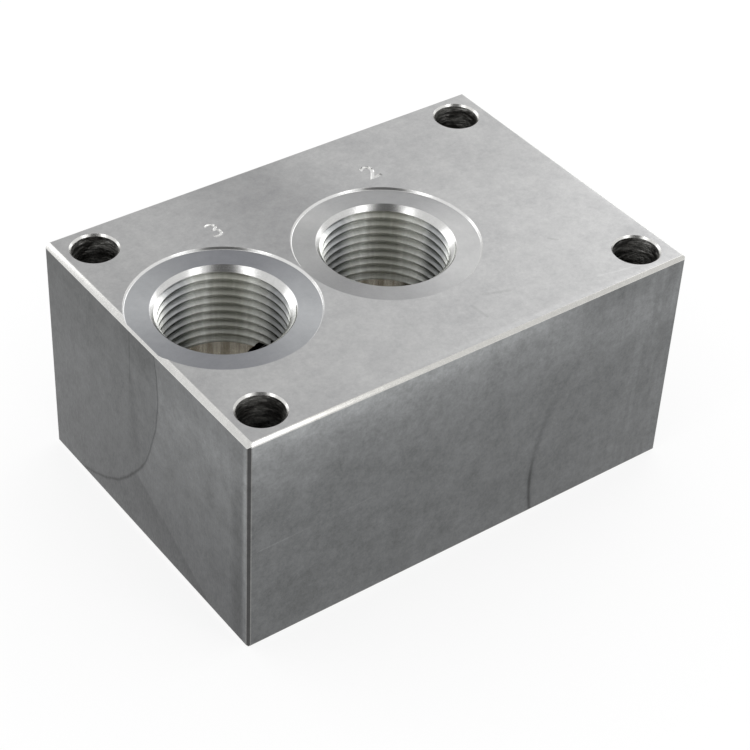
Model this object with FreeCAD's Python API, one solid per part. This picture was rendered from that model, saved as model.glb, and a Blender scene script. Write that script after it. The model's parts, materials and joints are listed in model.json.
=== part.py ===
"""Aluminium manifold block with three threaded ports.

The block is one piece, milled from bar and drilled. It stands on its underside,
with the origin at the middle of that face. +X runs along the long side, -Y is
the front face and +Z is up. Sizes are in millimetres.
"""

import FreeCAD, Part
import math
import os

# The milled block.
block_length = 125.0
block_width = 87.0
block_height = 61.5

# Broken edges. The top edge at the left end is broken wider than the others.
edge_break = 0.75
end_edge_break = 1.1

# The four mounting holes go right through, for M10 screws.
mount_hole_diameter = 11.0
mount_hole_end_inset = 8.75
mount_hole_side_inset = 8.5
mount_hole_break = 0.5

# The three ports take a parallel 1 inch pipe thread, 11 threads to the inch. They
# are drilled at the diameter of the thread's crests.
port_bore_diameter = 30.3
port_mouth_diameter = 33.8
port_mouth_cone_angle = 90.0
port_seat_diameter = 45.5
port_seat_depth = 0.6
drill_point_angle = 118.0

# The two top ports lie on the block's middle line.
left_port_end_inset = 22.0
top_port_spacing = 46.0
top_port_drill_depth = 36.0

# The inlet port is in the back face, midway between the top ports. Behind it the
# passage runs on between their bores and opens into both.
inlet_depth_below_top = 27.5
inlet_drill_depth = 23.0
passage_diameter = 22.0
passage_overrun = 5.0

# Cutting tools start this far outside the face that they enter.
tool_run_in = 5.0

ORIGIN = FreeCAD.Vector(0, 0, 0)
UP = FreeCAD.Vector(0, 0, 1)
TOWARDS_FRONT = FreeCAD.Vector(0, -1, 0)
AXES = (FreeCAD.Vector(1, 0, 0), FreeCAD.Vector(0, 1, 0), UP)
FULL_TURN = 360.0

# Places that follow from the sizes above.
back_y = block_width / 2
left_port_x = left_port_end_inset - block_length / 2
right_port_x = left_port_x + top_port_spacing
inlet_x = (left_port_x + right_port_x) / 2
inlet_z = block_height - inlet_depth_below_top


def height_of_cone(radius, full_angle):
    """Height of a cone with this base radius and full point angle."""
    return radius / math.tan(math.radians(full_angle / 2))


def turned_tool(profile):
    """A round cutting tool from half of its section, given as radius and height.

    The tool's axis is Z. Height 0 is the face that it enters, and it cuts down.
    """
    points = [FreeCAD.Vector(radius, 0, height) for radius, height in profile]
    outline = Part.makePolygon(points + points[:1])
    return Part.Face(outline).revolve(ORIGIN, UP, FULL_TURN)


def port_tool(drill_depth):
    """Cuts one port: flat seat, coned mouth, drilled bore and drill point."""
    bore_radius = port_bore_diameter / 2
    mouth_radius = port_mouth_diameter / 2
    seat_radius = port_seat_diameter / 2
    mouth_height = height_of_cone(mouth_radius - bore_radius, port_mouth_cone_angle)
    point_height = height_of_cone(bore_radius, drill_point_angle)
    return turned_tool([
        (0, tool_run_in),
        (seat_radius, tool_run_in),
        (seat_radius, -port_seat_depth),
        (mouth_radius, -port_seat_depth),
        (bore_radius, -port_seat_depth - mouth_height),
        (bore_radius, -drill_depth),
        (0, -drill_depth - point_height),
    ])


def passage_tool(drill_depth):
    """Drills the plain passage to this depth, with its drill point beyond."""
    radius = passage_diameter / 2
    point_height = height_of_cone(radius, drill_point_angle)
    return turned_tool([
        (0, tool_run_in),
        (radius, tool_run_in),
        (radius, -drill_depth),
        (0, -drill_depth - point_height),
    ])


def mount_hole_tool():
    """Drills one mounting hole right through and breaks both of its edges."""
    radius = mount_hole_diameter / 2
    wide_radius = radius + mount_hole_break + tool_run_in
    return turned_tool([
        (0, tool_run_in),
        (wide_radius, tool_run_in),
        (radius, -mount_hole_break),
        (radius, mount_hole_break - block_height),
        (wide_radius, -block_height - tool_run_in),
        (0, -block_height - tool_run_in),
    ])


def stand_on_top_face(tool, x, y):
    """Sets a tool upright over this place on the top face."""
    tool.translate(FreeCAD.Vector(x, y, block_height))
    return tool


def stand_on_back_face(tool):
    """Turns a tool to cut forwards from the inlet's place on the back face."""
    tool.Placement = FreeCAD.Placement(
        FreeCAD.Vector(inlet_x, back_y, inlet_z),
        FreeCAD.Rotation(UP * -1, TOWARDS_FRONT),
    )
    return tool


def outline_prism(across, upwards, through, size, corner_breaks):
    """A prism centred on the block, whose section is a rectangle with cut corners.

    across, upwards and through are the numbers of the axes along the section's two
    sides and along the prism. corner_breaks go round the section from its low
    corner, anticlockwise.
    """
    half_across = size[across] / 2
    half_up = size[upwards] / 2
    corners = ((-1, -1), (1, -1), (1, 1), (-1, 1))
    section = []
    for (side, level), corner_break in zip(corners, corner_breaks):
        on_level = (side * (half_across - corner_break), level * half_up)
        on_side = (side * half_across, level * (half_up - corner_break))
        section += [on_side, on_level] if side == level else [on_level, on_side]
    start = UP * (block_height / 2) - AXES[through] * (size[through] / 2)
    points = [start + AXES[across] * a + AXES[upwards] * b for a, b in section]
    face = Part.Face(Part.makePolygon(points + points[:1]))
    return face.extrude(AXES[through] * size[through])


def milled_block():
    """The bare block: what its outlines from above, the front and the end share."""
    x, y, z = range(3)
    size = (block_length, block_width, block_height)
    even_breaks = (edge_break, edge_break, edge_break, edge_break)
    front_breaks = (edge_break, edge_break, edge_break, end_edge_break)
    from_above = outline_prism(x, y, z, size, even_breaks)
    from_front = outline_prism(x, z, y, size, front_breaks)
    from_end = outline_prism(y, z, x, size, even_breaks)
    return from_above.common(from_front).common(from_end)


def mount_holes():
    """The four mounting holes, each placed from its own corner."""
    hole_x = block_length / 2 - mount_hole_end_inset
    hole_y = block_width / 2 - mount_hole_side_inset
    return [
        stand_on_top_face(mount_hole_tool(), x, y)
        for x in (-hole_x, hole_x)
        for y in (-hole_y, hole_y)
    ]


def manifold_block():
    """The finished block."""
    passage_depth = back_y + passage_overrun
    cuts = mount_holes() + [
        stand_on_top_face(port_tool(top_port_drill_depth), left_port_x, 0),
        stand_on_top_face(port_tool(top_port_drill_depth), right_port_x, 0),
        stand_on_back_face(port_tool(inlet_drill_depth)),
        stand_on_back_face(passage_tool(passage_depth)),
    ]
    return milled_block().cut(cuts).removeSplitter()


os.makedirs("parts", exist_ok=True)
block = manifold_block()
block.exportStep("parts/manifold_block.step")
box = block.BoundBox
print("manifold_block valid", block.isValid(), "solids", len(block.Solids), "faces", len(block.Faces))
print("size", round(box.XLength, 3), round(box.YLength, 3), round(box.ZLength, 3), "mm")
print("volume", round(block.Volume, 1), "cubic mm")
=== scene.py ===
# %% [markdown]
# A milled manifold block
#
# This lesson dresses the solid of an aluminium manifold block, a block that joins oil lines.
# On the real object a saw cuts a bar to length, a face mill squares its six sides, and drills,
# a spot-facing tool and a tap make the ports. Each tool leaves its own finish.
#
# We follow the same order. We make the bare block, then one closed cutter for each tool, and
# take the cutters out of the block in one Boolean. The cutters carry their materials with them,
# so that the drilled wall, the thread and the spot face each keep the finish of their own tool.

# %% The frame
import json
import math

import bmesh
import bpy
from mathutils import Matrix, Vector


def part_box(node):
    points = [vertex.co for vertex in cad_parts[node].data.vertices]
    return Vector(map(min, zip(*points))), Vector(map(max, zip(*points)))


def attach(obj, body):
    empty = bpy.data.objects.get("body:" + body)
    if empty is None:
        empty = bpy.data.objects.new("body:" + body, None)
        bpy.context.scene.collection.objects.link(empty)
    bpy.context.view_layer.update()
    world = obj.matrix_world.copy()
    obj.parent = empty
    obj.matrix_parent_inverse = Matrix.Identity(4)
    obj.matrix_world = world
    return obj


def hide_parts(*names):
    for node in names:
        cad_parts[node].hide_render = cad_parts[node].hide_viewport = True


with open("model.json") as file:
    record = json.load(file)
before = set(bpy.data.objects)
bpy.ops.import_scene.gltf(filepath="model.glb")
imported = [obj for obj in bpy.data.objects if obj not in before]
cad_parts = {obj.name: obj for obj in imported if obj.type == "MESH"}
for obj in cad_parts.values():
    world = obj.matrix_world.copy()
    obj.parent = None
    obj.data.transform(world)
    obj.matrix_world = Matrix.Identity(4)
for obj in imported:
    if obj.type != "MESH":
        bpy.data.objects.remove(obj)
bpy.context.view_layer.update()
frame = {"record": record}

MM = 0.001
UP = Vector((0, 0, 1))
TINY = 1e-7

# %% [markdown]
# One material for each tool
#
# A finish belongs to the tool that made it. We name the materials now, because the cutters
# carry them, and paint them later, when there is something to look at.

# %% Empty materials, one for each finish
FINISHES = (
    "ground_top",
    "milled_side",
    "broken_edge",
    "corner_edge",
    "corner_round",
    "spot_face",
    "seat_wall",
    "port_cone",
    "cut_thread",
    "drilled_wall",
    "passage_wall",
    "screw_hole",
    "stamped_figure",
)
finishes = {name: bpy.data.materials.new(name) for name in FINISHES}


def give_materials(mesh):
    """Puts every finish in the mesh's slots, in the order of FINISHES."""
    for name in FINISHES:
        mesh.materials.append(finishes[name])


def paint(faces, name):
    """Gives these faces one finish."""
    for face in faces:
        face.material_index = FINISHES.index(name)


print("finishes:", ", ".join(FINISHES))

# %% [markdown]
# Where things are
#
# The frame knows the block's corners and the ports' centres, so nothing is measured twice.
# A port is drilled into a face, so each one gets a small set of axes of its own, with Z out of
# the face and height 0 on the face. A cutter is made on plain axes and then moved there.

# %% Places read from the frame
block_low, block_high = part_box("manifold_block")
block_size = block_high - block_low
block_middle = (block_low + block_high) / 2
mounts = {mount["name"]: mount for mount in frame["record"]["mounts"]}


def place_on_face(mount):
    """Axes on the face that this mount's axis points out of, at the mount's centre."""
    outward = Vector(mount["axis"])
    centre = Vector(mount["pos_m"])
    face_point = Vector(high if way > 0.5 else mid for high, way, mid in zip(block_high, outward, centre))
    return Matrix.Translation(face_point) @ UP.rotation_difference(outward).to_matrix().to_4x4()


top_ports = {name: place_on_face(mounts[name]) for name in ("left_port", "right_port")}
inlet_port = place_on_face(mounts["inlet_port"])
for name, place in {**top_ports, "inlet_port": inlet_port}.items():
    print(name, "centre at", [round(c / MM, 2) for c in place.translation], "mm")

# %% [markdown]
# The bare block
#
# A cube is the right start. Its twelve edges are broken by a few strokes of a file or by a
# chamfer mill. A bevel gives every edge one width, but here the top edge at the left end is
# broken wider than the rest, so each edge is planed off by its own cut at 45 degrees. A second,
# very small bevel then rounds the chamfers' own edges: no real edge is perfectly sharp, and
# that small round is what catches the light.

# %% A cube with broken edges
EDGE_BREAK = 0.75 * MM
END_EDGE_BREAK = 1.1 * MM
EDGE_ROUND = 0.13 * MM
EDGE_ROUND_STEPS = 3


def plane_off(bm, point, outward):
    """Cuts off what lies outside a plane and closes the cut."""
    everything = bm.verts[:] + bm.edges[:] + bm.faces[:]
    cut = bmesh.ops.bisect_plane(
        bm, geom=everything, dist=TINY, plane_co=point, plane_no=outward, clear_outer=True
    )
    rim = [part for part in cut["geom_cut"] if isinstance(part, bmesh.types.BMEdge)]
    return bmesh.ops.contextual_create(bm, geom=rim)["faces"]


def round_off(bm, parts, width, steps, affect):
    """Rounds some edges of a solid, or some corners of a wire."""
    bmesh.ops.bevel(
        bm,
        geom=parts,
        offset=width,
        offset_type="OFFSET",
        segments=steps,
        profile=0.5,
        affect=affect,
        clamp_overlap=True,
        material=-1,
    )


def bare_block():
    bm = bmesh.new()
    bmesh.ops.create_cube(bm, size=1.0)
    bmesh.ops.scale(bm, vec=block_size, verts=bm.verts)
    bmesh.ops.translate(bm, vec=block_middle, verts=bm.verts)
    half = block_size / 2
    for first, second in ((0, 1), (0, 2), (1, 2)):
        for first_side in (-1, 1):
            for second_side in (-1, 1):
                wide = (first, second, first_side, second_side) == (0, 2, -1, 1)
                width = END_EDGE_BREAK if wide else EDGE_BREAK
                outward = Vector((0, 0, 0))
                outward[first] = first_side
                outward[second] = second_side
                on_plane = block_middle.copy()
                on_plane[first] += first_side * (half[first] - width)
                on_plane[second] += second_side * half[second]
                plane_off(bm, on_plane, outward.normalized())
    round_off(bm, bm.edges[:], EDGE_ROUND, EDGE_ROUND_STEPS, "EDGES")
    bmesh.ops.recalc_face_normals(bm, faces=bm.faces)
    return bm


STRAIGHT = 0.999
SLANT = math.sqrt(0.5)
SLANT_TOLERANCE = 0.001


def finish_block_faces(bm):
    """Flat faces keep the mill's or the grinder's finish, and all the rest is a broken edge."""
    for face in bm.faces:
        along = [abs(part) for part in face.normal]
        face.smooth = max(along) < STRAIGHT
        if along[2] > STRAIGHT:
            paint([face], "ground_top")
        elif max(along) > STRAIGHT:
            paint([face], "milled_side")
        elif max(abs(along[0] - SLANT), abs(along[1] - SLANT)) < SLANT_TOLERANCE:
            paint([face], "corner_edge")
        elif along[2] < SLANT_TOLERANCE:
            paint([face], "corner_round")
        else:
            paint([face], "broken_edge")


def new_object(name, data):
    """Puts a mesh, a text, a light or a camera in the scene as an object."""
    made = bpy.data.objects.new(name, data)
    bpy.context.scene.collection.objects.link(made)
    return made


def object_from(bm, name, place=Matrix()):
    """Turns a bmesh into an object with every finish in its slots. Its mesh is moved to place."""
    mesh = bpy.data.meshes.new(name)
    bm.to_mesh(mesh)
    bm.free()
    give_materials(mesh)
    mesh.transform(place)
    return new_object(name, mesh)


block_bm = bare_block()
finish_block_faces(block_bm)
print("bare block:", len(block_bm.faces), "faces")
block = object_from(block_bm, "machined_block")

# %% [markdown]
# Turned cutters
#
# A drill, a countersink and a spot-facing tool all turn, so half of the tool's section, spun
# round its axis, is the tool. The section is a short list of corners, each with a radius and a
# height, and a small function says which finish each place gets. A vertex bevel rounds the
# corners that a real tool rounds. Every cutter is a closed mesh, which a Boolean needs.

# %% A cutter spun from half of its section
ROUND_STEPS = 128
CORNER_STEPS = 3


def wire(bm, points):
    """A chain of edges through these points, which are a radius and a height each."""
    chain = [bm.verts.new((radius, 0, height)) for radius, height in points]
    for start, end in zip(chain, chain[1:]):
        bm.edges.new((start, end))
    return chain


def merge_doubles(bm):
    """Merges corners that lie on each other, and drops what has no size."""
    bmesh.ops.remove_doubles(bm, verts=bm.verts, dist=TINY)
    bmesh.ops.dissolve_degenerate(bm, dist=TINY, edges=bm.edges)


def spin_round(bm, steps, climb=0.0):
    """Spins the whole wire once round Z. It may climb on the way, as a thread does."""
    bmesh.ops.spin(
        bm,
        geom=bm.verts[:] + bm.edges[:],
        cent=(0, 0, 0),
        axis=UP,
        dvec=(0, 0, climb / steps),
        angle=math.tau,
        steps=steps,
        use_merge=climb == 0,
    )
    merge_doubles(bm)
    bmesh.ops.recalc_face_normals(bm, faces=bm.faces)
    for face in bm.faces:
        face.smooth = True


def turned_cutter(name, place, section, rounded, round_width, finish_at, steps=ROUND_STEPS):
    """A turned cutter. finish_at says which finish a place at a radius and a height has."""
    bm = bmesh.new()
    corners = wire(bm, section)
    if rounded:
        round_off(bm, [corners[number] for number in rounded], round_width, CORNER_STEPS, "VERTICES")
    spin_round(bm, steps)
    for face in bm.faces:
        middle = face.calc_center_median()
        paint([face], finish_at(math.hypot(middle.x, middle.y), middle.z))
    return object_from(bm, name, place)


# %% [markdown]
# The port cutter
#
# One tool makes the sealing face and the mouth of a port: a wide flat cutter with a cone in its
# middle. The drill comes first and leaves its 118 degree point at the bottom. The thread's own
# cutter, further on, works between the mouth and the thread's end, so over that length this
# cutter is a hair thinner than the thread's crests, and no two walls lie on each other.

# %% Sizes of a port
SEAT_RADIUS = 22.75 * MM
SEAT_DEPTH = 0.6 * MM
MOUTH_RADIUS = 16.9 * MM
BORE_RADIUS = 15.15 * MM
DRILL_POINT_ANGLE = 118
DRILL_POINT_SLOPE = 1 / math.tan(math.radians(DRILL_POINT_ANGLE / 2))
SEAT_EDGE_BREAK = 0.06 * MM
SEAT_WALL_LEAN = 0.28 * MM
PORT_CORNER_ROUND = 0.09 * MM
RUN_IN = 4 * MM

MM_PER_INCH = 25.4
THREADS_PER_INCH = 11
THREAD_PITCH = MM_PER_INCH / THREADS_PER_INCH * MM
THREAD_DEPTH = 22.4 * MM
THREAD_TAPER = 4.5 * MM
HAIR = 0.15 * MM

TOP_PORT_DRILL_DEPTH = 36.0 * MM
INLET_DRILL_DEPTH = 23.0 * MM
INLET_THREAD_DEPTH = 20.0 * MM


def port_section(drill_depth, thread_depth):
    """Half of a port's section, from the axis above the face to the axis at the drill point."""
    cone_foot = SEAT_DEPTH + MOUTH_RADIUS - (BORE_RADIUS - HAIR)
    return [
        (0, RUN_IN),
        (SEAT_RADIUS + SEAT_WALL_LEAN / 2 + SEAT_EDGE_BREAK + RUN_IN, RUN_IN),
        (SEAT_RADIUS + SEAT_WALL_LEAN / 2, -SEAT_EDGE_BREAK),
        (SEAT_RADIUS - SEAT_WALL_LEAN / 2, -SEAT_DEPTH),
        (MOUTH_RADIUS, -SEAT_DEPTH),
        (BORE_RADIUS - HAIR, -cone_foot),
        (BORE_RADIUS - HAIR, HAIR - thread_depth),
        (BORE_RADIUS, -thread_depth),
        (BORE_RADIUS, -drill_depth),
        (0, -drill_depth - BORE_RADIUS * DRILL_POINT_SLOPE),
    ]


ROUNDED_PORT_CORNERS = (3, 4)


def port_finish(radius, height):
    """The finish at a place on a port's wall."""
    if height > -SEAT_EDGE_BREAK:
        return "broken_edge"
    if radius > SEAT_RADIUS - SEAT_WALL_LEAN / 2 - PORT_CORNER_ROUND:
        return "seat_wall"
    if radius > MOUTH_RADIUS - PORT_CORNER_ROUND:
        return "spot_face"
    if height > -SEAT_DEPTH - MOUTH_RADIUS + BORE_RADIUS:
        return "port_cone"
    return "drilled_wall"


def port_cutter(name, place, drill_depth, thread_depth):
    section = port_section(drill_depth, thread_depth)
    return turned_cutter(name, place, section, ROUNDED_PORT_CORNERS, PORT_CORNER_ROUND, port_finish)


cutters = [
    port_cutter(name + "_cutter", place, TOP_PORT_DRILL_DEPTH, THREAD_DEPTH)
    for name, place in top_ports.items()
]
cutters.append(port_cutter("inlet_port_cutter", inlet_port, INLET_DRILL_DEPTH, INLET_THREAD_DEPTH))
print("port cutters:", [cutter.name for cutter in cutters])

# %% [markdown]
# The tap
#
# A parallel pipe thread has flanks at 55 degrees and rounded crests and roots. The cutter is
# the shape of the screw that fits the port. Its outline is a row of sharp V teeth, whose tips a
# vertex bevel rounds. The outline goes once round the axis while it climbs by one pitch, so
# each tooth ends where the next one began, and the merged rows are one long helix. Two plane
# cuts trim its ends, and a real tap's lead is a slope that limits the radius near the far end.

# %% Thread outline and helix
FLANK_ANGLE = 55
FLANK_HALF_ANGLE = math.radians(FLANK_ANGLE / 2)
CREST_CLEARANCE = 0.02 * MM
CREST_RADIUS = BORE_RADIUS - CREST_CLEARANCE
CREST_FLAT = 0.5 * MM
CREST_ROUND = 0.08 * MM
ROOT_ROUND_PER_PITCH = 0.137329
ROOT_ROUND_RADIUS = ROOT_ROUND_PER_PITCH * THREAD_PITCH
SHARP_ROOT_RADIUS = CREST_RADIUS + (THREAD_PITCH - CREST_FLAT) / 2 / math.tan(FLANK_HALF_ANGLE)
ROOT_RADIUS = SHARP_ROOT_RADIUS - ROOT_ROUND_RADIUS * (1 / math.sin(FLANK_HALF_ANGLE) - 1)
THREAD_STEPS = 128
CREST_DEPTH_AT_ZERO = 1.83 * MM
ROOT_STEPS = 4
SPARE_TEETH = 3


def tap_outline(bm, length):
    """The row of teeth, a little longer than the thread, with rounded tips."""
    teeth = math.ceil(length / THREAD_PITCH) + SPARE_TEETH
    top = 2 * THREAD_PITCH - CREST_DEPTH_AT_ZERO
    points = []
    for number in range(teeth):
        crest_height = top - number * THREAD_PITCH
        points.append((CREST_RADIUS, crest_height + CREST_FLAT / 2))
        points.append((CREST_RADIUS, crest_height - CREST_FLAT / 2))
        points.append((SHARP_ROOT_RADIUS, crest_height - THREAD_PITCH / 2))
    corners = wire(bm, points)
    tips = corners[2:-1:3]
    crest_corners = [corner for corner in corners[1:-1] if corner not in tips]
    tip_cut = ROOT_ROUND_RADIUS / math.tan(FLANK_HALF_ANGLE)
    round_off(bm, crest_corners, CREST_ROUND, CORNER_STEPS, "VERTICES")
    round_off(bm, tips, tip_cut, ROOT_STEPS, "VERTICES")


def limit_radius(bm, depth):
    """The tap's lead: past the full thread the radius shrinks evenly to the bore's."""
    for vert in bm.verts:
        radius = math.hypot(vert.co.x, vert.co.y)
        share = (vert.co.z + depth) / THREAD_TAPER
        limit = CREST_RADIUS + max(0.0, share) * (ROOT_RADIUS - CREST_RADIUS)
        if radius > limit:
            vert.co.xy *= limit / radius


def tap_cutter(name, place, depth):
    bm = bmesh.new()
    tap_outline(bm, depth)
    spin_round(bm, THREAD_STEPS, climb=THREAD_PITCH)
    limit_radius(bm, depth)
    for end, outward in ((0.0, UP), (-depth, -UP)):
        for cap in plane_off(bm, (0, 0, end), outward):
            cap.smooth = False
    bmesh.ops.triangulate(bm, faces=[face for face in bm.faces if len(face.verts) > 4])
    bmesh.ops.recalc_face_normals(bm, faces=bm.faces)
    paint(bm.faces, "cut_thread")
    return object_from(bm, name, place)


for name, place in top_ports.items():
    cutters.append(tap_cutter(name + "_tap", place, THREAD_DEPTH))
cutters.append(tap_cutter("inlet_port_tap", inlet_port, INLET_THREAD_DEPTH))
print("a tap has", len(cutters[-1].data.polygons), "faces; its pitch is", round(THREAD_PITCH / MM, 3), "mm")
print("thread from", round(CREST_RADIUS / MM, 3), "to", round(ROOT_RADIUS / MM, 3), "mm radius")

# %% [markdown]
# The passage and the screw holes
#
# Behind the inlet port a plain drilled passage runs on between the two top ports and opens into
# both. Four holes for screws go right through, each with both edges broken by a countersink.

# %% Passage and screw holes
PASSAGE_RADIUS = 11.0 * MM
PASSAGE_OVERRUN = 5.0 * MM
SCREW_HOLE_RADIUS = mounts["mounting_holes"]["dims"]["hole_r_mm"] * MM
SCREW_HOLE_BREAK = 0.5 * MM
SCREW_HOLE_ROUND = 0.08 * MM
ROUNDED_SCREW_HOLE_CORNERS = (2, 3)
SCREW_HOLE_STEPS = 96


def passage_finish(radius, height):
    return "passage_wall"


def passage_cutter():
    depth = block_size.y / 2 + PASSAGE_OVERRUN
    section = [
        (0, RUN_IN),
        (PASSAGE_RADIUS, RUN_IN),
        (PASSAGE_RADIUS, -depth),
        (0, -depth - PASSAGE_RADIUS * DRILL_POINT_SLOPE),
    ]
    return turned_cutter("passage_cutter", inlet_port, section, (), 0, passage_finish)


def screw_hole_cutter(name, x, y):
    height = block_size.z
    wide = SCREW_HOLE_RADIUS + SCREW_HOLE_BREAK + RUN_IN
    section = [
        (0, height + RUN_IN),
        (wide, height + RUN_IN),
        (SCREW_HOLE_RADIUS, height - SCREW_HOLE_BREAK),
        (SCREW_HOLE_RADIUS, SCREW_HOLE_BREAK),
        (wide, -RUN_IN),
        (0, -RUN_IN),
    ]

    def finish_at(radius, level):
        inside = SCREW_HOLE_BREAK < level < height - SCREW_HOLE_BREAK
        return "screw_hole" if inside else "broken_edge"

    place = Matrix.Translation((x, y, block_low.z))
    rounded = ROUNDED_SCREW_HOLE_CORNERS
    return turned_cutter(name, place, section, rounded, SCREW_HOLE_ROUND, finish_at, SCREW_HOLE_STEPS)


cutters.append(passage_cutter())
hole_dims = mounts["mounting_holes"]["dims"]
hole_centre = mounts["mounting_holes"]["pos_m"]
for x_side, x_name in ((-1, "left"), (1, "right")):
    for y_side, y_name in ((-1, "front"), (1, "back")):
        x = hole_centre[0] + x_side * hole_dims["spacing_x_mm"] * MM / 2
        y = hole_centre[1] + y_side * hole_dims["spacing_y_mm"] * MM / 2
        cutters.append(screw_hole_cutter(f"screw_hole_{y_name}_{x_name}", x, y))
print(len(cutters), "cutters so far")

# %% [markdown]
# Stamped figures
#
# Each top port has a number stamped beside it with a hand punch. A text object gives the shape.
# It is turned into a mesh, given a little depth, and taken out of the face with the rest. Each
# figure has the weight at which its sloping sides stay clear of each other.

# %% Figures made from text
FIGURE_HEIGHT = 5.7 * MM
FIGURE_DEPTH = 0.35 * MM
FIGURE_STROKE_SLOPE = 0.12 * MM
FIGURE_CURVE_STEPS = 3
FIGURE_PLACE = Vector((14.2, 26.1, 0)) * MM
PORT_FIGURES = {"left_port": ("3", 0.0), "right_port": ("2", 0.012)}


def figure_outline(text, weight):
    """The figure as a flat bmesh of the right height, centred on its middle."""
    curve = bpy.data.curves.new("figure", "FONT")
    curve.body = text
    curve.offset = weight
    curve.resolution_u = FIGURE_CURVE_STEPS
    lettering = new_object("figure", curve)
    depsgraph = bpy.context.evaluated_depsgraph_get()
    mesh = bpy.data.meshes.new_from_object(lettering.evaluated_get(depsgraph))
    bpy.data.objects.remove(lettering)
    bm = bmesh.new()
    bm.from_mesh(mesh)
    bmesh.ops.remove_doubles(bm, verts=bm.verts, dist=TINY)
    low = Vector(min(vert.co[axis] for vert in bm.verts) for axis in range(3))
    high = Vector(max(vert.co[axis] for vert in bm.verts) for axis in range(3))
    bmesh.ops.translate(bm, vec=-(low + high) / 2, verts=bm.verts)
    bmesh.ops.scale(bm, vec=Vector((1, 1, 1)) * (FIGURE_HEIGHT / (high.y - low.y)), verts=bm.verts)
    return bm


def figure_cutter(name, text, weight, place):
    """A punch: upright above the face, and sloping to a narrow edge below it."""
    bm = figure_outline(text, weight)
    above = bmesh.ops.extrude_face_region(bm, geom=bm.faces[:])["geom"]
    raised = [part for part in above if isinstance(part, bmesh.types.BMVert)]
    bmesh.ops.translate(bm, vec=UP * RUN_IN, verts=raised)
    lower = [face for face in bm.faces if max(vert.co.z for vert in face.verts) < TINY]
    bmesh.ops.inset_region(bm, faces=lower, thickness=FIGURE_STROKE_SLOPE, depth=0, use_even_offset=True)
    sunk = {vert for face in lower for vert in face.verts}
    bmesh.ops.translate(bm, vec=UP * -FIGURE_DEPTH, verts=list(sunk))
    bmesh.ops.recalc_face_normals(bm, faces=bm.faces)
    if bm.calc_volume(signed=True) < 0:
        bmesh.ops.reverse_faces(bm, faces=bm.faces)
    paint(bm.faces, "stamped_figure")
    return object_from(bm, name + "_stamp", place @ Matrix.Translation(FIGURE_PLACE))


for name, (text, weight) in PORT_FIGURES.items():
    cutters.append(figure_cutter(name + "_figure", text, weight, top_ports[name]))
print("stamps:", PORT_FIGURES)

# %% [markdown]
# Cutting
#
# All the cutters go into one collection, and one Boolean takes it out of the block. The
# Manifold solver is exact and fast on closed meshes, and it hands the cutters' materials on to
# the walls that they cut. The result is a plain mesh, cleaned of doubles.

# %% One Boolean for every tool
SHARP_ANGLE = math.radians(35)
FLAT_FINISHES = ("ground_top", "milled_side", "stamped_figure")


def cut(target, tools):
    """Takes all the tools out of the target and leaves a plain mesh."""
    rack = bpy.data.collections.new("cutters")
    for tool in tools:
        rack.objects.link(tool)
        bpy.context.scene.collection.objects.unlink(tool)
    bpy.context.scene.collection.children.link(rack)
    boolean = target.modifiers.new("cut", "BOOLEAN")
    boolean.operation = "DIFFERENCE"
    boolean.operand_type = "COLLECTION"
    boolean.collection = rack
    boolean.solver = "MANIFOLD"
    depsgraph = bpy.context.evaluated_depsgraph_get()
    mesh = bpy.data.meshes.new_from_object(target.evaluated_get(depsgraph))
    if len(mesh.polygons) <= len(target.data.polygons):
        raise RuntimeError("nothing was cut: one of the cutters isn't closed")
    target.modifiers.remove(boolean)
    target.data = mesh
    for tool in tools:
        bpy.data.objects.remove(tool)
    bpy.data.collections.remove(rack)


def tidy_mesh(target):
    """Merges doubles and says whether the mesh is closed."""
    bm = bmesh.new()
    bm.from_mesh(target.data)
    merge_doubles(bm)
    for face in bm.faces:
        face.smooth = FINISHES[face.material_index] not in FLAT_FINISHES
    open_edges = [edge for edge in bm.edges if len(edge.link_faces) != 2]
    triangles = sum(len(face.verts) - 2 for face in bm.faces)
    volume = bm.calc_volume()
    bm.to_mesh(target.data)
    bm.free()
    print(f"{triangles} triangles, {len(open_edges)} open edges, volume {volume / MM**3:.0f} cubic mm")


cut(block, cutters)
tidy_mesh(block)
block.data.set_sharp_from_angle(angle=SHARP_ANGLE)
print("finishes on the block:", [slot.name for slot in block.data.materials])

# %% [markdown]
# Shared effects
#
# Several finishes share the same few effects, so each effect is a node group with named inputs,
# built once and placed in every material that needs it with its own values.

# %% Helpers for nodes
NUMBER = 0.0
ORIGIN = (0, 0, 0)
SOCKET_TYPES = {1: "NodeSocketFloat", 3: "NodeSocketVector", 4: "NodeSocketColor"}
GIVES_NUMBER = ("LENGTH", "DISTANCE", "DOT_PRODUCT")
MIX_SOCKETS = {"FLOAT": (2, 3, 0), "VECTOR": (4, 5, 1), "RGBA": (6, 7, 2)}


def feed(tree, socket, value):
    """Gives a socket a fixed value, or links another node's output to it."""
    if isinstance(value, bpy.types.NodeSocket):
        tree.links.new(value, socket)
    else:
        socket.default_value = value


def add_node(tree, kind, values=None, **settings):
    """Adds a node with these settings, and these values on its inputs."""
    node = tree.nodes.new(kind)
    for name, value in settings.items():
        setattr(node, name, value)
    for name, value in (values or {}).items():
        feed(tree, node.inputs[name], value)
    return node


def add_group(tree, group, values):
    """Places a shared group, with these values on its inputs, and hands over its outputs."""
    return add_node(tree, "ShaderNodeGroup", values, node_tree=group).outputs


def operate(tree, kind, operation, values):
    """A node that works on its inputs in order. Each value is fixed or another node's output."""
    node = add_node(tree, kind, operation=operation)
    for socket, value in zip(node.inputs, values):
        feed(tree, socket, value)
    return node.outputs


def calculate(tree, operation, *values):
    """One Math node."""
    return operate(tree, "ShaderNodeMath", operation, values)["Value"]


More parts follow.
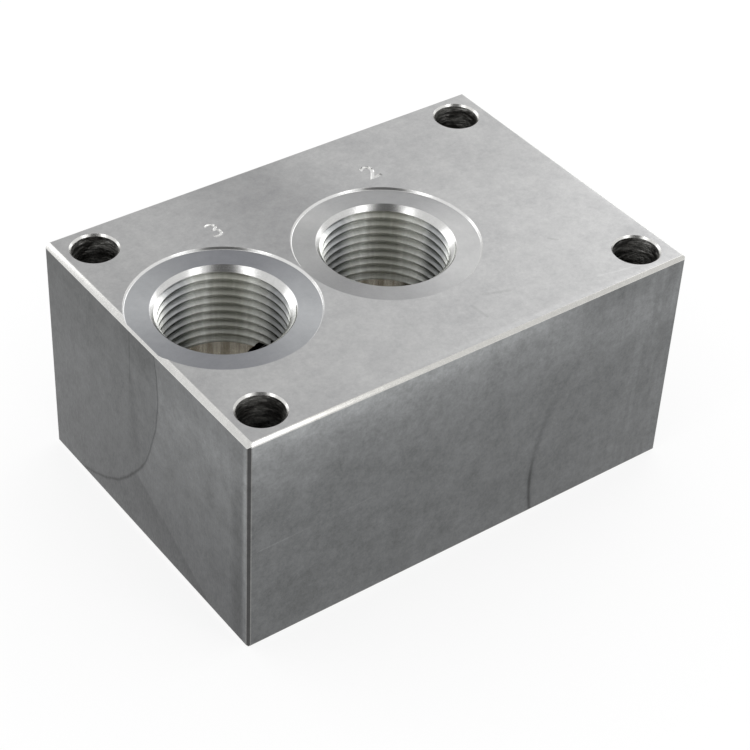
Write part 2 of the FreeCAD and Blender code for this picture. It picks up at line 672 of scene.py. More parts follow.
def calculate_vector(tree, operation, *values):
    """One Vector Math node, which gives a vector, or a number for a length or a distance."""
    outputs = operate(tree, "ShaderNodeVectorMath", operation, values)
    return outputs["Value" if operation in GIVES_NUMBER else "Vector"]


def both(tree, *masks):
    """Where all of these masks are on together."""
    together = masks[0]
    for mask in masks[1:]:
        together = calculate(tree, "MULTIPLY", together, mask)
    return together


def opposite(tree, mask):
    """Where this mask is off."""
    return calculate(tree, "SUBTRACT", 1.0, mask)


def mix(tree, data_type, factor, first, second, blend_type="MIX"):
    """Mixes two numbers, vectors or colours. A Mix node has sockets of its own for each type."""
    node = add_node(tree, "ShaderNodeMix", {"Factor": factor}, data_type=data_type, blend_type=blend_type)
    first_socket, second_socket, output = MIX_SOCKETS[data_type]
    feed(tree, node.inputs[first_socket], first)
    feed(tree, node.inputs[second_socket], second)
    return node.outputs[output]


def stretch_range(tree, value, low, high, to_low=0.0, to_high=1.0):
    """Maps a range of values softly onto another range."""
    values = {"Value": value, "From Min": low, "From Max": high, "To Min": to_low, "To Max": to_high}
    return add_node(tree, "ShaderNodeMapRange", values, interpolation_type="SMOOTHSTEP").outputs["Result"]


def zone(tree, coordinate, datum, starts, ends):
    """A mask that rises from 0 to 1 between two distances from a datum, in millimetres."""
    return stretch_range(tree, coordinate, datum + starts * MM, datum + ends * MM)


def noise(tree, place, fineness, detail, roughness):
    """A Noise texture's grey value."""
    values = {"Vector": place, "Scale": fineness, "Detail": detail, "Roughness": roughness}
    return add_node(tree, "ShaderNodeTexNoise", values).outputs["Fac"]


def join_xyz(tree, x, y, z):
    return add_node(tree, "ShaderNodeCombineXYZ", {"X": x, "Y": y, "Z": z}).outputs["Vector"]


def split_xyz(tree, vector):
    return add_node(tree, "ShaderNodeSeparateXYZ", {"Vector": vector}).outputs[:3]


def rgba(tone):
    """A colour with its alpha. A single number stands for a grey."""
    return (*tone, 1) if isinstance(tone, tuple) else (tone, tone, tone, 1)


def blend_tone(tree, tone, *masks, blend_type="MULTIPLY"):
    """Lays another tone over the base colour where all the masks are on."""
    base = tree.nodes["Principled BSDF"].inputs["Base Color"]
    under = base.links[0].from_socket
    feed(tree, base, mix(tree, "RGBA", both(tree, *masks), under, rgba(tone), blend_type))


def seen_directly(tree):
    """1 for what the camera and shiny things see, and 0 for the light that falls on things."""
    ray = add_node(tree, "ShaderNodeLightPath").outputs
    seen = calculate(tree, "MAXIMUM", ray["Is Camera Ray"], ray["Is Glossy Ray"])
    return calculate(tree, "MAXIMUM", seen, ray["Is Transmission Ray"])


def new_group(name, inputs, outputs):
    """A node group that reads a place. A socket's first value, by its length, gives its type."""
    group = bpy.data.node_groups.new(name, "ShaderNodeTree")
    for way, sockets in (("INPUT", {"Place": ORIGIN, **inputs}), ("OUTPUT", outputs)):
        for label, first_value in sockets.items():
            length = len(first_value) if isinstance(first_value, tuple) else 1
            socket = group.interface.new_socket(label, in_out=way, socket_type=SOCKET_TYPES[length])
            socket.default_value = first_value
    return group, group.nodes.new("NodeGroupInput").outputs, group.nodes.new("NodeGroupOutput").inputs


print("helpers ready")

# %% Clouding: patches of lighter and darker metal at every size
PATCH_DETAIL = 8.0
PATCH_CONTRAST = 0.95
PATCH_DARKEST = 0.3
PATCH_LIGHTEST = 0.7

first_values = {"Fineness": 80.0, "Dark": rgba(0.4), "Light": rgba(0.5)}
clouding, given, result = new_group("clouding", first_values, {"Colour": rgba(0.5)})
patches = noise(clouding, given["Place"], given["Fineness"], PATCH_DETAIL, PATCH_CONTRAST)
values = {"Value": patches, "From Min": PATCH_DARKEST, "From Max": PATCH_LIGHTEST}
share = add_node(clouding, "ShaderNodeMapRange", values).outputs["Result"]
feed(clouding, result["Colour"], mix(clouding, "RGBA", share, given["Dark"], given["Light"]))
print("group", clouding.name)

# %% Grain: short fine scratches, longer along one axis
GRAIN_DETAIL = 3.0
GRAIN_CONTRAST = 0.65

first_values = {"Stretch": (1, 1, 1), "Fineness": 1000.0}
grain, given, result = new_group("grain", first_values, {"Height": NUMBER})
stretched = calculate_vector(grain, "MULTIPLY", given["Place"], given["Stretch"])
feed(grain, result["Height"], noise(grain, stretched, given["Fineness"], GRAIN_DETAIL, GRAIN_CONTRAST))
print("group", grain.name)

# %% Port place: how far a point is from the axis of the port that it belongs to
TOP_PORT_REACH = MOUTH_RADIUS - 0.1 * MM

found = {"Radius": NUMBER, "Depth": NUMBER, "Around": ORIGIN, "Is inlet": NUMBER, "Is right": NUMBER}
tree, given, result = new_group("port_place", {}, found)
left_centre = top_ports["left_port"].translation
right_centre = top_ports["right_port"].translation
inlet_centre = inlet_port.translation
x, y, z = split_xyz(tree, given["Place"])
is_right = calculate(tree, "GREATER_THAN", x, (left_centre.x + right_centre.x) / 2)
centre_x = calculate(tree, "MULTIPLY_ADD", is_right, right_centre.x - left_centre.x, left_centre.x)
top_x = calculate(tree, "SUBTRACT", x, centre_x)
top_y = calculate(tree, "SUBTRACT", y, left_centre.y)
top_across = join_xyz(tree, top_x, top_y, 0.0)
top_depth = calculate(tree, "SUBTRACT", left_centre.z, z)
inlet_x = calculate(tree, "SUBTRACT", x, inlet_centre.x)
inlet_z = calculate(tree, "SUBTRACT", z, inlet_centre.z)
inlet_across = join_xyz(tree, inlet_x, inlet_z, 0.0)
inlet_depth = calculate(tree, "SUBTRACT", inlet_centre.y, y)
outside = calculate(tree, "GREATER_THAN", calculate_vector(tree, "LENGTH", top_across), TOP_PORT_REACH)
below = calculate(tree, "LESS_THAN", z, left_centre.z - 2 * SEAT_DEPTH)
is_inlet = both(tree, outside, below)
across = mix(tree, "VECTOR", is_inlet, top_across, inlet_across)
feed(tree, result["Radius"], calculate_vector(tree, "LENGTH", across))
feed(tree, result["Depth"], mix(tree, "FLOAT", is_inlet, top_depth, inlet_depth))
feed(tree, result["Around"], calculate_vector(tree, "NORMALIZE", across))
feed(tree, result["Is inlet"], is_inlet)
feed(tree, result["Is right"], both(tree, is_right, opposite(tree, is_inlet)))
port_place = tree
print("group", port_place.name)

# %% Deep shade: painted shade darkens the inlet and the passage behind it, more further in
DEEP_SHADE_STARTS = 5
DEEP_SHADE_ENDS = 15

tree, given, result = new_group("deep_shade", {}, {"Mask": NUMBER})
port = add_group(tree, port_place, {"Place": given["Place"]})
how_deep = zone(tree, port["Depth"], 0.0, DEEP_SHADE_STARTS, DEEP_SHADE_ENDS)
feed(tree, result["Mask"], both(tree, how_deep, port["Is inlet"]))
deep_shade = tree
print("group", deep_shade.name)

# %% Bow tie: a mask for painted shade, where a turned face looks darker towards and away from the light than to its sides
SOFT_MASK_POWER = 1.6


def side_of_port(tree, port, direction):
    """1 on the side of a port that lies in this direction, and -1 on the far side."""
    return calculate_vector(tree, "DOT_PRODUCT", port["Around"], direction)


first_values = {"Direction": (1, 0, 0), "Edge": 0.35}
tree, given, result = new_group("bow_tie", first_values, {"Mask": NUMBER, "Soft mask": NUMBER})
port = add_group(tree, port_place, {"Place": given["Place"]})
either_side = calculate(tree, "ABSOLUTE", side_of_port(tree, port, given["Direction"]))
feed(tree, result["Mask"], stretch_range(tree, either_side, given["Edge"], 1.0))
feed(tree, result["Soft mask"], calculate(tree, "POWER", either_side, SOFT_MASK_POWER))
bow_tie = tree
print("group", bow_tie.name)

# %% Tool lines: the fine rings that a turning tool leaves, and streaks along its axis
STREAKS_PER_METRE_OF_DEPTH = 60.0

first_values = {"Fineness": 5000.0, "Streak fineness": 12.0}
tree, given, result = new_group("tool_lines", first_values, {"Height": NUMBER, "Streak": NUMBER})
port = add_group(tree, port_place, {"Place": given["Place"]})
ring_radius = calculate(tree, "MULTIPLY", port["Radius"], given["Fineness"])
ring_depth = calculate(tree, "MULTIPLY", port["Depth"], given["Fineness"])
ring_place = calculate_vector(tree, "ADD", join_xyz(tree, ring_radius, ring_depth, 0.0), port["Around"])
feed(tree, result["Height"], noise(tree, ring_place, 1.0, 2.0, 0.7))
turned_streak = calculate_vector(tree, "MULTIPLY", port["Around"], given["Streak fineness"])
slow_depth = calculate(tree, "MULTIPLY", port["Depth"], STREAKS_PER_METRE_OF_DEPTH)
streak_place = calculate_vector(tree, "ADD", turned_streak, join_xyz(tree, 0.0, 0.0, slow_depth))
on_wall = zone(tree, port["Radius"], BORE_RADIUS, -1.2, -0.4)
feed(tree, result["Streak"], both(tree, noise(tree, streak_place, 1.0, 3.0, 0.6), on_wall))
tool_lines = tree
print("group", tool_lines.name)

# %% [markdown]
# Marks
#
# A face mill leaves a faint arc where it stopped, and handling leaves a scratch. An arc is a ring
# mask round a centre, and a scratch is the distance to a short line. Each fades at its ends.

# %% Arc mark and scratch mark
SWAY_FINENESS = 120.0

first_values = {"Centre": ORIGIN, "Arc radius": 50 * MM, "Half width": 0.2 * MM, "Wobble": 0.0}
tree, given, result = new_group("arc_mark", first_values, {"Mask": NUMBER, "Inside": NUMBER})
reach = calculate_vector(tree, "DISTANCE", given["Place"], given["Centre"])
sway = calculate(tree, "SUBTRACT", noise(tree, given["Place"], SWAY_FINENESS, 2.0, 0.5), 0.5)
reach = calculate(tree, "MULTIPLY_ADD", sway, given["Wobble"], reach)
off_line = calculate(tree, "SUBTRACT", reach, given["Arc radius"])
distance = calculate(tree, "ABSOLUTE", off_line)
feed(tree, result["Mask"], stretch_range(tree, distance, given["Half width"], 0.0))
feed(tree, result["Inside"], zone(tree, off_line, 0.0, 1, -1))
arc_mark = tree

first_values = {"Start": ORIGIN, "End": (10 * MM, 0, 0), "Half width": 0.3 * MM}
tree, given, result = new_group("scratch_mark", first_values, {"Mask": NUMBER})
whole = calculate_vector(tree, "SUBTRACT", given["End"], given["Start"])
part = calculate_vector(tree, "SUBTRACT", given["Place"], given["Start"])
along = calculate_vector(tree, "DOT_PRODUCT", part, whole)
share = calculate(tree, "DIVIDE", along, calculate_vector(tree, "DOT_PRODUCT", whole, whole))
held = add_node(tree, "ShaderNodeClamp", {"Value": share}).outputs["Result"]
away = calculate_vector(tree, "DISTANCE", part, calculate_vector(tree, "MULTIPLY", whole, held))
feed(tree, result["Mask"], stretch_range(tree, away, given["Half width"], 0.0))
scratch_mark = tree
print("groups", arc_mark.name, "and", scratch_mark.name)

# %% [markdown]
# Painting the finishes
#
# Every finish is the same metal, so every material is metallic. They differ in how rough they
# are, how much the tone clouds and which marks the tool left, and many carry painted light and
# shade in their colour.

# %% One function for every metal finish
MARKS_LOW = 0.3
MARKS_HIGH = 0.7


def metal(name, dark, light, patch_fineness, roughness, marks_group, marks_values, bump, bump_mm):
    """Paints a finish: clouded tone, roughness, and the height of the tool's marks.

    It hands over the outputs of the marks. A roughness of None leaves the roughness alone.
    """
    material = finishes[name]
    material.use_nodes = True
    tree = material.node_tree
    shader = tree.nodes["Principled BSDF"].inputs
    shader["Metallic"].default_value = 1.0
    place = add_node(tree, "ShaderNodeTexCoord").outputs["Object"]
    values = {"Place": place, "Fineness": patch_fineness, "Dark": rgba(dark), "Light": rgba(light)}
    feed(tree, shader["Base Color"], add_group(tree, clouding, values)["Colour"])
    marks = add_group(tree, marks_group, {"Place": place, **marks_values})
    if roughness:
        spread = stretch_range(tree, marks["Height"], MARKS_LOW, MARKS_HIGH, *roughness)
        feed(tree, shader["Roughness"], spread)
    values = {"Strength": bump, "Distance": bump_mm * MM, "Height": marks["Height"]}
    feed(tree, shader["Normal"], add_node(tree, "ShaderNodeBump", values).outputs["Normal"])
    return marks


def painted(name):
    """The node tree of a painted finish, and the place on the block that it reads."""
    tree = finishes[name].node_tree
    return tree, tree.nodes["Texture Coordinate"].outputs["Object"]


print("painter ready")

# %% The outside faces
TOP_DARK = (0.385, 0.385, 0.39)
TOP_LIGHTER = (0.565, 0.565, 0.56)
# Painted shade: the sides' tones are far darker than the top's, for the darker surroundings that the sides
# reflect.
SHADED_SIDE_DARK = (0.10, 0.103, 0.103)
SHADED_SIDE_LIGHTER = (0.212, 0.217, 0.22)
EVEN = (1, 1, 1)

# Finish, dark, light, patch fineness, roughness, grain's stretch and fineness, bump and its height
OUTSIDE = (
    ("ground_top", TOP_DARK, TOP_LIGHTER, 85, (0.42, 0.48), (1, 4, 4), 900, 0.5, 0.01),
    ("milled_side", SHADED_SIDE_DARK, SHADED_SIDE_LIGHTER, 150, (0.36, 0.44), (3, 3, 1), 700, 0.5, 0.01),
    ("broken_edge", (0.64, 0.635, 0.62), (0.84, 0.835, 0.81), 300, (0.22, 0.28), EVEN, 1500, 0.3, 0.02),
    # Painted shade: the vertical edges' chamfers and their rounds are painted dark, for the dark
    # surroundings that they reflect.
    ("corner_edge", 0.05, 0.08, 300, (0.3, 0.36), EVEN, 1500, 0.2, 0.02),
    ("corner_round", 0.15, (0.28, 0.28, 0.275), 300, (0.34, 0.4), EVEN, 1500, 0.2, 0.02),
    ("stamped_figure", (0.74, 0.74, 0.73), (0.94, 0.94, 0.93), 400, (0.2, 0.26), EVEN, 1500, 0.5, 0.03),
    ("screw_hole", (0.10, 0.10, 0.095), (0.80, 0.79, 0.76), 260, (0.38, 0.5), (1, 1, 3), 350, 1.0, 0.5),
)
HOLE_SMEAR = (0.28, 0.275, 0.27)
HOLE_SMEAR_SQUEEZE = 2.5
HOLE_SMEAR_FINENESS = 160.0
HOLE_PAINTED_SHADE = 0.32

for name, dark, light, patch_fineness, roughness, stretch, fineness, bump, bump_mm in OUTSIDE:
    values = {"Stretch": stretch, "Fineness": fineness}
    metal(name, dark, light, patch_fineness, roughness, grain, values, bump, bump_mm)

tree, place = painted("screw_hole")
x, y, z = split_xyz(tree, place)
smear_place = join_xyz(tree, x, y, calculate(tree, "MULTIPLY", z, HOLE_SMEAR_SQUEEZE))
smears = stretch_range(tree, noise(tree, smear_place, HOLE_SMEAR_FINENESS, 2.0, 0.6), 0.42, 0.6)
blend_tone(tree, HOLE_SMEAR, smears)
# Painted shade: the hole's wall is painted darker further down.
blend_tone(tree, HOLE_PAINTED_SHADE, zone(tree, z, block_high.z, -2, -13))
print("painted outside:", ", ".join(row[0] for row in OUTSIDE))

# %% Inside the ports
# Finish, dark, light, patch fineness, roughness, ring and streak fineness, bump and its height
TURNED = (
    ("seat_wall", (0.76, 0.76, 0.75), (0.88, 0.88, 0.87), 200, (0.18, 0.22), 4000, 6, 0.2, 0.01),
    ("port_cone", (0.60, 0.60, 0.59), (0.74, 0.74, 0.73), 200, (0.19, 0.25), 4000, 6, 0.4, 0.01),
    ("spot_face", (0.42, 0.43, 0.443), (0.54, 0.55, 0.563), 60, (0.28, 0.34), 7000, 6, 0.6, 0.01),
    ("cut_thread", (0.86, 0.87, 0.84), (0.96, 0.97, 0.94), 300, None, 3500, 9, 1.0, 0.03),
    ("drilled_wall", (0.70, 0.68, 0.64), (0.84, 0.82, 0.78), 300, (0.2, 0.26), 3000, 9, 0.4, 0.03),
    # Painted shade: the passage wall is painted dark, as the passage behind the inlet gets little light.
    ("passage_wall", (0.30, 0.29, 0.27), (0.40, 0.39, 0.37), 300, (0.4, 0.5), 2000, 9, 0.5, 0.03),
)
FAINT_STREAK = (0.85, 0.85, 0.84)
WALL_STREAKS = {"cut_thread": FAINT_STREAK, "drilled_wall": (0.5, 0.48, 0.44), "passage_wall": FAINT_STREAK}
DEEP_SHADE_TONE = (0.02, 0.019, 0.018)

for name, dark, light, patch_fineness, roughness, rings, streaks, bump, bump_mm in TURNED:
    values = {"Fineness": rings, "Streak fineness": streaks}
    lines = metal(name, dark, light, patch_fineness, roughness, tool_lines, values, bump, bump_mm)
    if name in WALL_STREAKS:
        tree, place = painted(name)
        blend_tone(tree, WALL_STREAKS[name], stretch_range(tree, lines["Streak"], 0.33, 0.62))
        # Painted shade: the inlet and the passage behind it go nearly black further in.
        inlet_shade = add_group(tree, deep_shade, {"Place": place})["Mask"]
        blend_tone(tree, DEEP_SHADE_TONE, inlet_shade, blend_type="MIX")
print("painted inside:", ", ".join(row[0] for row in TURNED))

# %% Painted light and shade on the seats
TOWARDS_LIGHT = (0.616, 0.788, 0.0)
LEFTWARDS = (-0.807, 0.591, 0.0)
RIGHT_SEAT_DARK_SIDE = (-0.985, 0.174, 0.0)
SEAT_SHADE = (0.5, 0.5, 0.52)
SEAT_LEFT_SHADE = 0.72
SEAT_SIDE_SHADE = 0.32
# The right seat's overall tone is partly its own, more neutral tone and partly painted light.
RIGHT_SEAT_TONE = (1.03, 1.01, 0.98)
RIGHT_SEAT_LIGHT = 1.25
RIGHT_SEAT_SHADE = 0.5
RIGHT_SEAT_DARK_TONE = 0.75

tree, place = painted("spot_face")
port = add_group(tree, port_place, {"Place": place})
shade = add_group(tree, bow_tie, {"Place": place, "Direction": TOWARDS_LIGHT})
on_right_seat = port["Is right"]
not_right_seat = opposite(tree, on_right_seat)
sideways = side_of_port(tree, port, LEFTWARDS)
left_part = stretch_range(tree, sideways, 0.1, 1.0)
right_part = stretch_range(tree, sideways, -0.1, -0.7)
dark_part = stretch_range(tree, side_of_port(tree, port, RIGHT_SEAT_DARK_SIDE), 0.3, 0.95)
blend_tone(tree, RIGHT_SEAT_TONE, on_right_seat)
blend_tone(tree, SEAT_SHADE, shade["Soft mask"], not_right_seat)
blend_tone(tree, SEAT_SHADE, shade["Mask"], on_right_seat, RIGHT_SEAT_SHADE)
blend_tone(tree, SEAT_LEFT_SHADE, left_part, not_right_seat, SEAT_SIDE_SHADE)
blend_tone(tree, RIGHT_SEAT_DARK_TONE, dark_part, on_right_seat)
blend_tone(tree, RIGHT_SEAT_LIGHT, right_part, on_right_seat)
print("seats shaded")

# %% Painted light and shade in the threads
THREAD_MIDDLE_TONE = (0.64, 0.635, 0.60)
THREAD_SIDE_TONE = (0.55, 0.56, 0.59)
THREAD_DEEP_TONE = (0.6, 0.6, 0.58)
THREAD_RIGHT_TONE = 0.72
MIDDLE_LOSS_WITH_DEPTH = -0.4
THREAD_ROUGHNESS = (0.32, 0.68)

tree, place = painted("cut_thread")
port = add_group(tree, port_place, {"Place": place})
facing = side_of_port(tree, port, TOWARDS_LIGHT)
sideways = side_of_port(tree, port, LEFTWARDS)
how_deep = zone(tree, port["Depth"], 0.0, 2, 24)
fading = calculate(tree, "MULTIPLY_ADD", how_deep, MIDDLE_LOSS_WITH_DEPTH, 1.0)
middle = stretch_range(tree, facing, 0.92, 1.0)
off_middle = stretch_range(tree, facing, 0.93, 0.72)
beside_middle = stretch_range(tree, facing, 0.88, 0.70)
short_of_edge = stretch_range(tree, facing, 0.2, 0.5)
lit_side = stretch_range(tree, facing, -0.2, 0.2)
right_part = stretch_range(tree, sideways, -0.35, -0.6)
blend_tone(tree, THREAD_MIDDLE_TONE, middle, fading)
blend_tone(tree, THREAD_SIDE_TONE, beside_middle, short_of_edge)
blend_tone(tree, THREAD_DEEP_TONE, how_deep, lit_side, off_middle)
blend_tone(tree, THREAD_RIGHT_TONE, right_part, lit_side, opposite(tree, port["Is right"]))
dullness = stretch_range(tree, calculate(tree, "ABSOLUTE", facing), 0.6, 0.96, *THREAD_ROUGHNESS)
feed(tree, tree.nodes["Principled BSDF"].inputs["Roughness"], dullness)
print("threads shaded")

# %% The mill's marks on the sides
LEFT_ARC_CENTRE = Vector((block_low.x, block_high.y, block_low.z + 49.5 * MM))
FRONT_ARC_CENTRE = Vector((block_middle.x + 69.5 * MM, block_low.y, block_low.z + 11.5 * MM))
FACE_MILL_RADIUS = 50 * MM
ON_FACE = 0.1 * MM
ARC_TONE = 0.45
ARC_WOBBLE = 1.5
SWEEP_TONE = 0.77
SWEEP_LINE_HEIGHT = 16.3 * MM
SWEEP_LINE_SLOPE = 0.545
LOW_SWEEP_TONE = 0.73

# Half width, height where it starts, height where it is full, in millimetres, and strength
FRONT_ARCS = ((1.8, 46, 24, 0.4), (0.8, 20, 12, 0.9))

tree, place = painted("milled_side")
x, y, z = split_xyz(tree, place)
on_left = calculate(tree, "LESS_THAN", x, block_low.x + ON_FACE)
on_front = calculate(tree, "LESS_THAN", y, block_low.y + ON_FACE)


def mill_arc(tree, place, centre, half_width, wobble=0.0):
    """The arc that the face mill leaves round a centre. Its width and wobble are in millimetres."""
    values = {"Place": place, "Centre": centre, "Arc radius": FACE_MILL_RADIUS}
    return add_group(tree, arc_mark, {**values, "Half width": half_width * MM, "Wobble": wobble * MM})


arc = mill_arc(tree, place, LEFT_ARC_CENTRE, 0.45, ARC_WOBBLE)
# Inside the arc and under the sloping line the left side is painted darker: partly the face mill's own
# sweep, partly painted shade.
blend_tone(tree, SWEEP_TONE, arc["Inside"], on_left)
blend_tone(tree, ARC_TONE, arc["Mask"], on_left, 0.8)
wide_arc = mill_arc(tree, place, LEFT_ARC_CENTRE, 0.8, ARC_WOBBLE)
blend_tone(tree, ARC_TONE, wide_arc["Mask"], zone(tree, z, block_low.z, 28, 17), on_left, 0.9)

line = calculate(tree, "MULTIPLY_ADD", y, SWEEP_LINE_SLOPE, block_low.z + SWEEP_LINE_HEIGHT)
under_line = zone(tree, calculate(tree, "SUBTRACT", z, line), 0.0, 0.6, -0.6)
blend_tone(tree, LOW_SWEEP_TONE, under_line, opposite(tree, arc["Inside"]), on_left)

for half_width, starts, ends, strength in FRONT_ARCS:
    arc = mill_arc(tree, place, FRONT_ARC_CENTRE, half_width)
    blend_tone(tree, ARC_TONE, arc["Mask"], on_front, zone(tree, z, block_low.z, starts, ends), strength)
print("arcs drawn")

# %% Painted light and shade on the sides
RIM_LIGHT = 1.5
FAR_LEFT_TONE = (0.86, 0.86, 0.85)
NEAR_LEFT_TONE = 0.75
FRONT_RIGHT_TONE = 0.76
FRONT_RIM_LIGHT = 1.35
LOW_LEFT_TONE = (0.61, 0.61, 0.62)
LOW_FRONT_TONE = 0.9
CORNER_SHINE = 1.42
CORNER_SHADE = 0.72
STREAK_LIGHT = 1.35
STREAK_STRENGTH = 0.45
STREAK_LENGTHENING = 0.06
STREAK_FINENESS = 300.0
FRONT_EDGE_TONE = (0.9, 0.895, 0.88)

far_end = stretch_range(tree, y, block_low.y + 15 * MM, block_high.y - 10 * MM)
near_end = calculate(tree, "MULTIPLY_ADD", far_end, -0.5, 1.0)
dark_end = both(tree, far_end, on_left)
near_top = zone(tree, z, block_high.z, -26, 0)
top_part = zone(tree, z, block_high.z, -14, -3)
top_strip = zone(tree, z, block_high.z, -8, -1)
low_down = zone(tree, z, block_low.z, 40, 8)
near_part = zone(tree, y, block_low.y, 58, 45)
right_part = zone(tree, x, block_middle.x, 24, 38)
left_part = zone(tree, x, block_middle.x, 26, 8)
by_corner = zone(tree, y, block_low.y, 2.6, 1.3)
beside_corner = zone(tree, y, block_low.y, 8, 4.5)
before_shine = zone(tree, y, block_low.y, 1.8, 3.2)
for tone, *masks in (
    (RIM_LIGHT, near_top, opposite(tree, dark_end)),
    (FAR_LEFT_TONE, dark_end, near_top),
    (NEAR_LEFT_TONE, near_part, top_part, on_left),
    (FRONT_RIGHT_TONE, right_part, top_part, on_front),
    (FRONT_RIM_LIGHT, left_part, top_strip, on_front),
    (LOW_LEFT_TONE, low_down, on_left, near_end),
    (CORNER_SHINE, by_corner, on_left),
    (CORNER_SHADE, beside_corner, before_shine, opposite(tree, near_top), on_left),
    (LOW_FRONT_TONE, low_down, on_front),
):
    blend_tone(tree, tone, *masks)

streak_place = join_xyz(tree, x, y, calculate(tree, "MULTIPLY", z, STREAK_LENGTHENING))
streaks = stretch_range(tree, noise(tree, streak_place, STREAK_FINENESS, 2.0, 0.6), 0.45, 0.62)
right_end = zone(tree, x, block_high.x, -32, -8)
blend_tone(tree, STREAK_LIGHT, streaks, right_end, on_front, STREAK_STRENGTH)

tree, place = painted("broken_edge")
x, y, z = split_xyz(tree, place)
# Painted shade: the front chamfer is painted darker away from the near corner.
front_edge = calculate(tree, "LESS_THAN", y, block_low.y + 2 * MM)
blend_tone(tree, FRONT_EDGE_TONE, front_edge, zone(tree, x, block_middle.x, -58, -40))
print("sides shaded")

# %% Painted light and shade on the top
TOP_LIGHT = 1.05
TOP_SHADE = 0.93
TOP_BACK_TONE = (0.77, 0.77, 0.775)

tree, place = painted("ground_top")
x, y, z = split_xyz(tree, place)
front_half = zone(tree, y, block_middle.y, 15, -15)
right_half = zone(tree, x, block_middle.x, -25, 10)
left_end = stretch_range(tree, x, block_middle.x - 20 * MM, block_low.x)
back_half = zone(tree, y, block_middle.y, -10, 15)
past_left_port = zone(tree, x, block_middle.x, -38, -12)
short_of_right_end = zone(tree, x, block_middle.x, 16, -8)
blend_tone(tree, TOP_LIGHT, front_half, right_half)
blend_tone(tree, TOP_SHADE, left_end)
blend_tone(tree, TOP_BACK_TONE, back_half, past_left_port, short_of_right_end)
print("top shaded")

# %% Scratches
DARK = 0.55
LIGHT = 1.4
top = block_high.z / MM
left = block_low.x / MM
front = block_low.y / MM

# Finish, start, end and half width in millimetres, strength, tone
SCRATCHES = (
    ("ground_top", (12, -29, top), (18, -31, top), 0.8, 0.26, DARK),
    ("ground_top", (7, -31, top), (7.5, -36, top), 0.7, 0.24, DARK),
    ("ground_top", (39, -20, top), (40.5, -21.5, top), 0.6, 0.3, DARK),
    ("ground_top", (39, -38, top), (55, -41, top), 0.4, 0.25, LIGHT),
    ("milled_side", (left, 5, 61), (left, 5.5, 45), 0.45, 0.6, DARK),
    ("milled_side", (left, 5.3, 47), (left, 3.2, 27), 2.6, 0.35, DARK),
    ("milled_side", (-60, front, 29.5), (-52, front, 29.6), 0.3, 0.6, LIGHT),
    ("milled_side", (-52, front, 29.6), (-28, front, 30), 0.3, 0.3, LIGHT),
)

for name, start, end, half_width, strength, tone in SCRATCHES:
    tree, place = painted(name)
    values = {"Place": place, "Start": Vector(start) * MM, "End": Vector(end) * MM}
    mask = add_group(tree, scratch_mark, {**values, "Half width": half_width * MM})["Mask"]
    blend_tone(tree, tone, mask, strength)
print(len(SCRATCHES), "scratches")

# %% [markdown]
# The piece in the frame
#
# The finished block stands for the plain solid and rides on the only body there is.

# %% The block takes the solid's place
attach(block, "root")
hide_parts("manifold_block")
print("the block stands for manifold_block")

# %% [markdown]
# Studio
#
# Bare metal shows what is around it, so the studio matters as much as the finish. The block
# stands on a wide pale floor in a white tent. The tent has a gap where the camera looks in, and
# soft lamps stand outside it.

# %% Floor
FLOOR_RADIUS = 6.0
FLOOR_ROUGHNESS = 0.9
FLOOR_PATCH_FINENESS = 3.0
FLOOR_DARK = 0.93
FLOOR_LIGHT = 0.95
PAPER_SHARE = 0.8

floor_bm = bmesh.new()
bmesh.ops.create_circle(floor_bm, cap_ends=True, segments=96, radius=FLOOR_RADIUS)
floor_mesh = bpy.data.meshes.new("floor")
floor_bm.to_mesh(floor_mesh)
floor_bm.free()
floor = new_object("floor", floor_mesh)
floor.location.z = block_low.z

floor_paint = bpy.data.materials.new("pale_floor")
floor_paint.use_nodes = True
tree = floor_paint.node_tree
shader = tree.nodes["Principled BSDF"]
shader.inputs["Roughness"].default_value = FLOOR_ROUGHNESS
shader.inputs["Specular IOR Level"].default_value = 0.0
place = add_node(tree, "ShaderNodeTexCoord").outputs["Object"]
tones = {"Dark": rgba(FLOOR_DARK), "Light": rgba(FLOOR_LIGHT)}
clouds = add_group(tree, clouding, {"Place": place, "Fineness": FLOOR_PATCH_FINENESS, **tones})
feed(tree, shader.inputs["Base Color"], clouds["Colour"])
glow = add_node(tree, "ShaderNodeEmission", {"Strength": 1.0})
paper = add_node(tree, "ShaderNodeMixShader", {"Fac": both(tree, seen_directly(tree), PAPER_SHARE)})
feed(tree, paper.inputs[1], shader.outputs["BSDF"])
feed(tree, paper.inputs[2], glow.outputs["Emission"])
feed(tree, tree.nodes["Material Output"].inputs["Surface"], paper.outputs["Shader"])
floor_mesh.materials.append(floor_paint)
print("floor radius", FLOOR_RADIUS, "m")

# %% World
TENT_GAP_AZIMUTH = math.radians(-123)
TENT_GAP_HALF_WIDTH = math.radians(27)
TENT_GAP_BLUR = math.radians(8)
TENT_WHITE = 0.85
TENT_GAP_TONE = 0.1
ROOM_LIGHT = 1.0

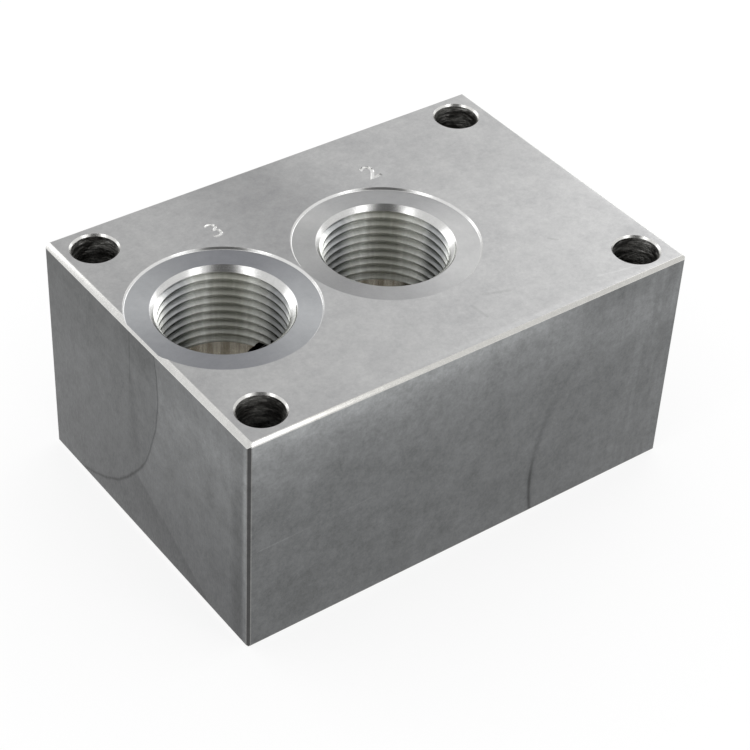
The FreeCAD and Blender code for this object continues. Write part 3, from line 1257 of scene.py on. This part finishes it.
world = bpy.data.worlds.new("tent")
bpy.context.scene.world = world
world.use_nodes = True
tree = world.node_tree
background = tree.nodes["Background"].inputs
outwards = add_node(tree, "ShaderNodeTexCoord").outputs["Generated"]
level = calculate_vector(tree, "NORMALIZE", calculate_vector(tree, "MULTIPLY", outwards, (1, 1, 0)))
gap_direction = (math.cos(TENT_GAP_AZIMUTH), math.sin(TENT_GAP_AZIMUTH), 0)
facing = calculate_vector(tree, "DOT_PRODUCT", level, gap_direction)
gap_edge = math.cos(TENT_GAP_HALF_WIDTH + TENT_GAP_BLUR)
gap_inside = math.cos(TENT_GAP_HALF_WIDTH - TENT_GAP_BLUR)
tent = stretch_range(tree, facing, gap_edge, gap_inside, TENT_WHITE, TENT_GAP_TONE)
feed(tree, background["Strength"], mix(tree, "FLOAT", seen_directly(tree), ROOM_LIGHT, tent))
background["Color"].default_value = rgba(1)
print("tent: white", TENT_WHITE, "gap", TENT_GAP_TONE)

# %% Lamps
def lamp(name, azimuth, elevation, distance, width, height, brightness):
    """A soft box. Azimuth is anticlockwise from +X, and brightness is what a mirror would show."""
    across, rise = math.radians(azimuth), math.radians(elevation)
    towards = Vector((math.cos(across) * math.cos(rise), math.sin(across) * math.cos(rise), math.sin(rise)))
    light = bpy.data.lights.new(name, "AREA")
    light.shape = "RECTANGLE"
    light.size = width
    light.size_y = height
    light.energy = brightness * math.pi * width * height
    made = new_object(name, light)
    made.location = block_middle + towards * distance
    made.rotation_mode = "QUATERNION"
    made.rotation_quaternion = towards.to_track_quat("Z", "Y")


lamp("back_right_box", 21, 27.5, 0.75, 0.5, 0.42, 1.2)
lamp("back_left_box", 110, 20, 1.0, 0.5, 0.4, 1.3)
lamp("left_strip", -172, 46, 1.0, 0.2, 0.5, 1.8)
lamp("right_strip", -72, 46, 1.0, 0.2, 0.5, 1.8)
print("four lamps")

# %% Camera
CAMERA_PLACE = Vector((-245.18, -316.94, 350.43)) * MM
CAMERA_FORWARD = Vector((0.479, 0.6087, -0.63249)).normalized()
CAMERA_RIGHT = Vector((0.80617, -0.59016, 0.04257)).normalized()
CAMERA_LENS = 100.16

camera_data = bpy.data.cameras.new("camera")
camera_data.lens = CAMERA_LENS
camera_data.sensor_width = 36.0
camera_data.clip_start = 0.01
camera_data.clip_end = 50.0
camera = new_object("camera", camera_data)
backwards = -CAMERA_FORWARD
upwards = backwards.cross(CAMERA_RIGHT).normalized()
sideways = upwards.cross(backwards)
turn = Matrix((sideways, upwards, backwards)).transposed()
camera.matrix_world = Matrix.Translation(CAMERA_PLACE) @ turn.to_4x4()
bpy.context.scene.camera = camera
bpy.context.scene.view_settings.view_transform = "Standard"
print("camera at", [round(c, 3) for c in CAMERA_PLACE])
